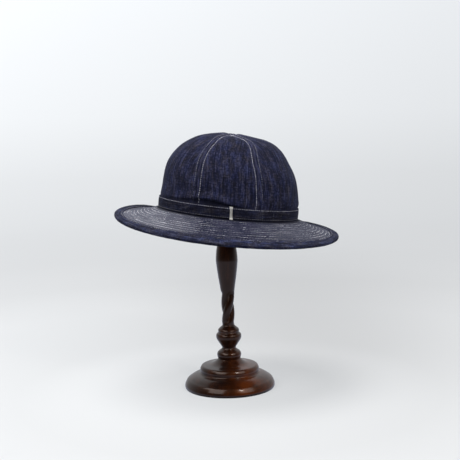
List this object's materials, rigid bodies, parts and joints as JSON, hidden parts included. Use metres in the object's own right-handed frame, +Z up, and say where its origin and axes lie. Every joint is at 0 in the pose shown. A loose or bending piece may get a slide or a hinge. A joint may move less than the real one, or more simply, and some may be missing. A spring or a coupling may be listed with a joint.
{
  "type": "army hat on a turned wooden stand",
  "caption": "Soft denim army hat with a round panelled crown and a stitched, drooping brim, resting on a plain turned wooden stand with a twisted column.",
  "frame": {"origin": "middle of the stand's underside", "axes": "+Z up; the hat's front looks along -X and the wearer's left side along -Y"},
  "size_m": [0.3177, 0.2923, 0.3658],
  "materials": {
    "crown_denim": "dark indigo denim with fine upright slubs",
    "band_denim": "dark indigo denim",
    "brim_denim": "indigo denim quilted with rings of pale thread",
    "tape": "plain pale woven tape",
    "wood": "dark mahogany stain under gloss lacquer"
  },
  "bodies": {
    "root": {"crown_panel_left": "crown_denim", "crown_panel_front_left": "crown_denim", "crown_panel_front_right": "crown_denim", "crown_panel_right": "crown_denim", "crown_panel_rear_right": "crown_denim", "crown_panel_rear_left": "crown_denim", "crown_band": "band_denim", "band_tab": "tape", "brim": "brim_denim", "brim_binding": "band_denim", "stand_base": "wood", "stand_post": "wood", "stand_head": "wood"}
  },
  "joints": []
}
